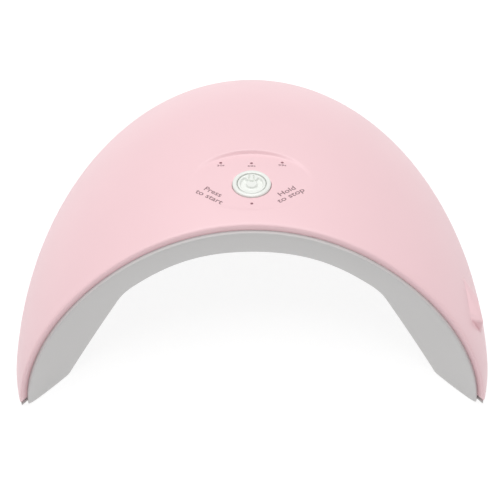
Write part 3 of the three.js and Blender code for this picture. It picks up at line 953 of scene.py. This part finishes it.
WORD_TURN = math.radians(37)
WORD_SIZE = 3.5 * MM
PANEL_WORDS = [("press", "Press", -16.3, -4.1, -WORD_TURN, 8.6),
               ("to_start", "to start", -17.9, -7.1, -WORD_TURN, 13.8),
               ("hold", "Hold", 14.8, -3.9, WORD_TURN, 8.4),
               ("to_stop", "to stop", 16.5, -6.5, WORD_TURN, 13.8)]      # places and lengths in mm
prints = [printed("print_" + name, words, x * MM, y * MM, turn, WORD_SIZE, length * MM)
          for name, words, x, y, turn, length in PANEL_WORDS]
for name, words, length in (("left", "30s", 3.2), ("middle", "60s", 3.4), ("right", "99s", 3.4)):
    spot = panel.inverted() @ pipe_places[INDICATORS.index(name)].translation
    prints.append(printed("print_" + words, words, spot.x, spot.y - 2.1 * MM, 0, 1.5 * MM,
                          length * MM))
print("prints:", [piece.name for piece in prints])

# %% [markdown]
# ## Indicators, lamps, sensor, feet and screws
# These are all turned pieces, so each has a short profile. An indicator is the end of a light pipe
# that stands just under the shell's surface. A lamp is a pale violet lens on a round base, the foot
# is a soft rubber button, and the screw has a low head with a cross cut into it.

# %% Indicator windows
PIPE_PROFILE = [(0, -0.05), (0.4, -0.08), (0.58, -0.2), (0.58, -4.2), (1.5, -4.4), (1.5, -7),
                (0, -7)]
for name, place in zip(INDICATORS, pipe_places):
    spot = panel.inverted() @ place.translation
    on_dome = on_panel(spot.x, spot.y)
    top = (shell_height(on_dome.x, on_dome.y) - on_dome.z) / math.cos(panel_tilt)
    profile = [(r, top + z) for r, z in scaled(PIPE_PROFILE)]
    pipe = turned("indicator_" + name, profile, place, corner=0.05 * MM, steps=24)
    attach(pipe, "housing")
    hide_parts("light_pipe_" + name)
    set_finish(pipe, "indicator")

# %% Violet lamps
LENS_PROFILE = [(0, 2.05), (1.3, 1.9), (2.35, 1.35), (2.95, 0.55), (3.1, 0), (3.5, -0.12),
                (3.5, -1.9), (0, -1.9)]
face_down = Matrix.Rotation(math.pi, 4, "X")
for node, place in lamp_frames.items():
    lens = turned("lens_" + node[-2:], scaled(LENS_PROFILE), place @ face_down, corner=0.1 * MM,
                  steps=40)
    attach(lens, "housing")
    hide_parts(node)
    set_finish(lens, "led_lens")

# %% Feet
FOOT_PROFILE = [(0, 2), (4.6, 2), (4.6, 0.55), (4.2, 0.1), (3.7, 0), (2.2, 0), (1.9, 0.25),
                (0, 0.3)]
for corner, place in foot_places.items():
    foot = turned("rubber_foot_" + corner, scaled(FOOT_PROFILE), place, corner=0.12 * MM)
    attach(foot, "housing")
    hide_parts("foot_" + corner)
    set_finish(foot, "rubber_feet")

# %% Case screws with a cross cut in the head
screw_low, screw_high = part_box("case_screw_front_right")
SCREW_PROFILE = [(0, screw_high.z), (0.9 * MM, screw_high.z - 1 * MM),
                 (1.2 * MM, screw_high.z - 1.6 * MM), (1.2 * MM, screw_low.z + 1.4 * MM),
                 (2.6 * MM, screw_low.z + 1.4 * MM), (2.5 * MM, screw_low.z + 0.5 * MM),
                 (1.8 * MM, screw_low.z), (0, screw_low.z)]
CROSS_TURN = Matrix.Rotation(math.radians(31), 4, "Z")
for corner, place in screw_places.items():
    screw = turned("screw_" + corner, SCREW_PROFILE, place, corner=0.1 * MM, steps=32)
    for half_x, half_y in ((1.5 * MM, 0.3 * MM), (0.3 * MM, 1.5 * MM)):
        groove = block("cross", (-half_x, -half_y, screw_low.z - 1 * MM),
                       (half_x, half_y, screw_low.z + 0.7 * MM))
        groove.data.transform(place @ CROSS_TURN)
        shape_with(screw, groove)
    screw.data.set_sharp_from_angle(angle=CREASE)
    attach(screw, "housing")
    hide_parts("case_screw_" + corner)
    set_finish(screw, "steel")

# %% [markdown]
# ## Power socket
# The socket is a black moulded block behind the pad, with a round nose in the pad's mouth. The plug
# goes into a straight bore with a plated pin on its axis. The block and the nose are joined, the
# bore is cut, and the edges are rounded last.

# %% Socket block, nose and bore, and the pin
NOSE_RADIUS, BORE_RADIUS = 2.9 * MM, 2.35 * MM
PIN_PROFILE = [(0, -3.4), (0.55, -3.5), (0.9, -4.1), (0.9, -12.6), (0, -12.6)]
socket = behind_pad("socket_block", 2.9 * MM, 16.9 * MM, 4.5 * MM, 4.2 * MM)
nose = pins("nose", [socket_place], NOSE_RADIUS, -3.9 * MM, -1.6 * MM, sides=48)
shape_with(socket, nose, "UNION")
shape_with(socket, pins("bore", [socket_place], BORE_RADIUS, -12.9 * MM, 1 * MM, sides=48))
round_edges(socket, 0.14 * MM, angle=50)
settle(socket)
socket.data.set_sharp_from_angle(angle=math.radians(50))
socket_pin = turned("centre_pin", scaled(PIN_PROFILE), socket_place, corner=0.1 * MM, steps=24)
for piece, node, finish in ((socket, "power_socket", "black_plastic"),
                            (socket_pin, "socket_pin", "brass")):
    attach(piece, "housing")
    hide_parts(node)
    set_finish(piece, finish)

# %% [markdown]
# ## Finishes
# Moulded plastics all come from one make-up: a faint cloudiness in the colour, a gloss that changes
# from patch to patch, and the fine grain of the mould. The rubber and the insulation use it too.


# %% Moulded plastic
def lay_out(*columns):
    """Sets nodes out in columns, from left to right."""
    for across, column in enumerate(columns):
        for down, node in enumerate(column):
            node.location = (260 * across, -300 * down)


def moulded_plastic(name, colour, roughness, grain, coat=0.0):
    """Moulded plastic: a faint cloudiness in the colour, an uneven gloss and a fine grain."""
    material = bpy.data.materials.new(name)
    material.use_nodes = True
    nodes, links = material.node_tree.nodes, material.node_tree.links
    nodes.clear()

    colour_frame = nodes.new("NodeFrame")
    colour_frame.label = "Cloudy colour"
    gloss_frame = nodes.new("NodeFrame")
    gloss_frame.label = "Uneven gloss"
    grain_frame = nodes.new("NodeFrame")
    grain_frame.label = "Moulding grain"

    place = nodes.new("ShaderNodeTexCoord")
    place.label = "Place on the lamp"
    clouds = nodes.new("ShaderNodeTexNoise")
    clouds.label = "Cloudiness of the resin"
    clouds.parent = colour_frame
    clouds.inputs["Scale"].default_value = 26
    clouds.inputs["Detail"].default_value = 3
    tint = nodes.new("ShaderNodeMix")
    tint.label = "Resin, a touch lighter and darker"
    tint.data_type = "RGBA"
    tint.parent = colour_frame
    tint.inputs["A"].default_value = (*[c * 0.975 for c in colour], 1)
    tint.inputs["B"].default_value = (*[min(1.0, c * 1.02) for c in colour], 1)

    haze = nodes.new("ShaderNodeTexNoise")
    haze.label = "Patches of polish"
    haze.parent = gloss_frame
    haze.inputs["Scale"].default_value = 70
    haze.inputs["Detail"].default_value = 4
    gloss = nodes.new("ShaderNodeMapRange")
    gloss.label = "Gloss from patch to patch"
    gloss.parent = gloss_frame
    gloss.inputs["To Min"].default_value = roughness - 0.04
    gloss.inputs["To Max"].default_value = roughness + 0.05

    pits = nodes.new("ShaderNodeTexNoise")
    pits.label = "Fine pits from the mould"
    pits.parent = grain_frame
    pits.inputs["Scale"].default_value = 2600
    pits.inputs["Detail"].default_value = 2
    bump = nodes.new("ShaderNodeBump")
    bump.label = "Depth of the pits"
    bump.parent = grain_frame
    bump.inputs["Strength"].default_value = grain
    bump.inputs["Distance"].default_value = 0.02 * MM

    shader = nodes.new("ShaderNodeBsdfPrincipled")
    shader.label = "Plastic"
    shader.inputs["Coat Weight"].default_value = coat
    shader.inputs["Coat Roughness"].default_value = 0.12
    shader.inputs["IOR"].default_value = 1.5
    result = nodes.new("ShaderNodeOutputMaterial")
    result.label = "Finished surface"
    lay_out([place], [clouds, haze, pits], [tint, gloss, bump], [shader], [result])

    links.new(place.outputs["Object"], clouds.inputs["Vector"])
    links.new(place.outputs["Object"], haze.inputs["Vector"])
    links.new(place.outputs["Object"], pits.inputs["Vector"])
    links.new(clouds.outputs["Fac"], tint.inputs["Factor"])
    links.new(tint.outputs["Result"], shader.inputs["Base Color"])
    links.new(haze.outputs["Fac"], gloss.inputs["Value"])
    links.new(gloss.outputs["Result"], shader.inputs["Roughness"])
    links.new(pits.outputs["Fac"], bump.inputs["Height"])
    links.new(bump.outputs["Normal"], shader.inputs["Normal"])
    links.new(shader.outputs["BSDF"], result.inputs["Surface"])
    return material


def coat_with(piece, material):
    piece.data.materials.clear()
    piece.data.materials.append(material)


# %% [markdown]
# ## More finishes
# Circuit boards have a lacquer with copper tracks under it, which show as slightly raised lighter
# lines. Screws, the switch's case and the pin are plated metal with fine scratches. The shooting
# table under the lamp is milky and glows.


# %% Circuit board
def circuit_lacquer(name, ground, track, track_size):
    """Lacquer over copper tracks: a grid of rounded fields, with the ground colour between them."""
    material = bpy.data.materials.new(name)
    material.use_nodes = True
    nodes, links = material.node_tree.nodes, material.node_tree.links
    nodes.clear()

    track_frame = nodes.new("NodeFrame")
    track_frame.label = "Copper tracks under the lacquer"
    relief_frame = nodes.new("NodeFrame")
    relief_frame.label = "Raised tracks"

    place = nodes.new("ShaderNodeTexCoord")
    place.label = "Place on the lamp"
    fields = nodes.new("ShaderNodeTexVoronoi")
    fields.label = "Fields of copper"
    fields.parent = track_frame
    fields.feature = "DISTANCE_TO_EDGE"
    fields.distance = "CHEBYCHEV"
    fields.inputs["Scale"].default_value = track_size
    edge = nodes.new("ShaderNodeMapRange")
    edge.label = "Edge of each field"
    edge.parent = track_frame
    edge.inputs["From Min"].default_value = 0.04
    edge.inputs["From Max"].default_value = 0.07
    tint = nodes.new("ShaderNodeMix")
    tint.label = "Ground and track colours"
    tint.data_type = "RGBA"
    tint.parent = track_frame
    tint.inputs["A"].default_value = (*ground, 1)
    tint.inputs["B"].default_value = (*track, 1)

    bump = nodes.new("ShaderNodeBump")
    bump.label = "Height of the tracks"
    bump.parent = relief_frame
    bump.inputs["Strength"].default_value = 0.5
    bump.inputs["Distance"].default_value = 0.04 * MM

    shader = nodes.new("ShaderNodeBsdfPrincipled")
    shader.label = "Lacquered board"
    shader.inputs["Roughness"].default_value = 0.38
    shader.inputs["Coat Weight"].default_value = 0.3
    result = nodes.new("ShaderNodeOutputMaterial")
    result.label = "Finished surface"
    lay_out([place], [fields], [edge], [tint, bump], [shader], [result])

    links.new(place.outputs["Object"], fields.inputs["Vector"])
    links.new(fields.outputs["Distance"], edge.inputs["Value"])
    links.new(edge.outputs["Result"], tint.inputs["Factor"])
    links.new(tint.outputs["Result"], shader.inputs["Base Color"])
    links.new(edge.outputs["Result"], bump.inputs["Height"])
    links.new(bump.outputs["Normal"], shader.inputs["Normal"])
    links.new(shader.outputs["BSDF"], result.inputs["Surface"])
    return material


# %% Plated metal
def plated_metal(name, colour, roughness):
    """Plating with fine scratches and a gloss that changes from patch to patch."""
    material = bpy.data.materials.new(name)
    material.use_nodes = True
    nodes, links = material.node_tree.nodes, material.node_tree.links
    nodes.clear()

    gloss_frame = nodes.new("NodeFrame")
    gloss_frame.label = "Handled plating"
    scratch_frame = nodes.new("NodeFrame")
    scratch_frame.label = "Fine scratches"

    place = nodes.new("ShaderNodeTexCoord")
    place.label = "Place on the lamp"
    haze = nodes.new("ShaderNodeTexNoise")
    haze.label = "Patches of wear"
    haze.parent = gloss_frame
    haze.inputs["Scale"].default_value = 400
    gloss = nodes.new("ShaderNodeMapRange")
    gloss.label = "Gloss from patch to patch"
    gloss.parent = gloss_frame
    gloss.inputs["To Min"].default_value = roughness - 0.06
    gloss.inputs["To Max"].default_value = roughness + 0.1
    stretch = nodes.new("ShaderNodeMapping")
    stretch.label = "Scratches run one way"
    stretch.parent = scratch_frame
    stretch.inputs["Scale"].default_value = (300, 6000, 900)
    scratches = nodes.new("ShaderNodeTexNoise")
    scratches.label = "Scratches"
    scratches.parent = scratch_frame
    bump = nodes.new("ShaderNodeBump")
    bump.label = "Depth of the scratches"
    bump.parent = scratch_frame
    bump.inputs["Strength"].default_value = 0.25
    bump.inputs["Distance"].default_value = 0.01 * MM

    shader = nodes.new("ShaderNodeBsdfPrincipled")
    shader.label = "Plating"
    shader.inputs["Base Color"].default_value = (*colour, 1)
    shader.inputs["Metallic"].default_value = 1.0
    result = nodes.new("ShaderNodeOutputMaterial")
    result.label = "Finished surface"
    lay_out([place], [haze, stretch], [gloss, scratches], [bump], [shader], [result])

    links.new(place.outputs["Object"], haze.inputs["Vector"])
    links.new(haze.outputs["Fac"], gloss.inputs["Value"])
    links.new(gloss.outputs["Result"], shader.inputs["Roughness"])
    links.new(place.outputs["Object"], stretch.inputs["Vector"])
    links.new(stretch.outputs["Vector"], scratches.inputs["Vector"])
    links.new(scratches.outputs["Fac"], bump.inputs["Height"])
    links.new(bump.outputs["Normal"], shader.inputs["Normal"])
    links.new(shader.outputs["BSDF"], result.inputs["Surface"])
    return material


# %% The shooting table
table = bpy.data.materials.new("milky_table")
table.use_nodes = True
table_nodes = table.node_tree.nodes
table_nodes.clear()
table_frame = table_nodes.new("NodeFrame")
table_frame.label = "Glow from below"
table_light = table_nodes.new("ShaderNodeBsdfPrincipled")
table_light.label = "Milky acrylic lit from below"
table_light.parent = table_frame
table_light.location = (-200, 0)
table_light.inputs["Base Color"].default_value = (0.3, 0.3, 0.3, 1)
table_light.inputs["Roughness"].default_value = 0.7
table_light.inputs["Emission Color"].default_value = (1.0, 1.0, 1.0, 1)
table_light.inputs["Emission Strength"].default_value = 0.78
table_result = table_nodes.new("ShaderNodeOutputMaterial")
table_result.label = "Table's surface"
table_result.location = (150, 0)
table.node_tree.links.new(table_light.outputs["BSDF"], table_result.inputs["Surface"])

# %% Every piece gets its finish, by the slot that it belongs to
FINISHES = {
    "shell": moulded_plastic("pink_plastic", (0.92, 0.64, 0.675), 0.4, 0.25),
    # The liner and base rim are white plastic. Their colour here is a light grey, darker than that
    # plastic: painted shade for the white face under the rim.
    "liner": moulded_plastic("white_plastic_with_painted_shade", (0.63, 0.62, 0.615), 0.42, 0.3),
    "button": moulded_plastic("pearl_plastic", (0.87, 0.89, 0.85), 0.25, 0.1, coat=0.3),
    "indicator": moulded_plastic("indicator_plastic", (0.58, 0.31, 0.36), 0.35, 0.1),
    "led_lens": moulded_plastic("lens_plastic", (0.75, 0.70, 0.86), 0.12, 0.1, coat=0.5),
    "led_board": circuit_lacquer("white_lacquer", (0.78, 0.78, 0.77), (0.88, 0.88, 0.87), 160),
    "circuit_board": circuit_lacquer("green_lacquer", (0.03, 0.17, 0.08), (0.05, 0.27, 0.13), 320),
    "black_plastic": moulded_plastic("black_moulding", (0.025, 0.025, 0.027), 0.45, 0.5),
    "sensor_black": moulded_plastic("infrared_filter", (0.02, 0.012, 0.03), 0.1, 0.05, coat=0.4),
    "connector": moulded_plastic("natural_nylon", (0.72, 0.69, 0.60), 0.5, 0.3),
    "steel": plated_metal("zinc_plating", (0.62, 0.63, 0.64), 0.32),
    "brass": plated_metal("contact_plating", (0.78, 0.62, 0.34), 0.25),
    "rubber_feet": moulded_plastic("foot_rubber", (0.12, 0.12, 0.125), 0.75, 0.6),
    "lead_red": moulded_plastic("red_insulation", (0.42, 0.03, 0.025), 0.5, 0.2),
    "lead_black": moulded_plastic("black_insulation", (0.025, 0.025, 0.025), 0.5, 0.2),
}
INK = moulded_plastic("printing_ink", (0.31, 0.19, 0.21), 0.6, 0.1)
slot_of_node = {row["node"]: row["material_slot"] for row in frame["record"]["subparts"]}
coat_with(floor, table)
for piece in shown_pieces():
    if piece in prints:
        coat_with(piece, INK)
    elif "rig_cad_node" in piece:
        coat_with(piece, FINISHES[slot_of_node[piece["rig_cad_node"]]])
    else:
        coat_with(piece, FINISHES[piece["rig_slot"]])
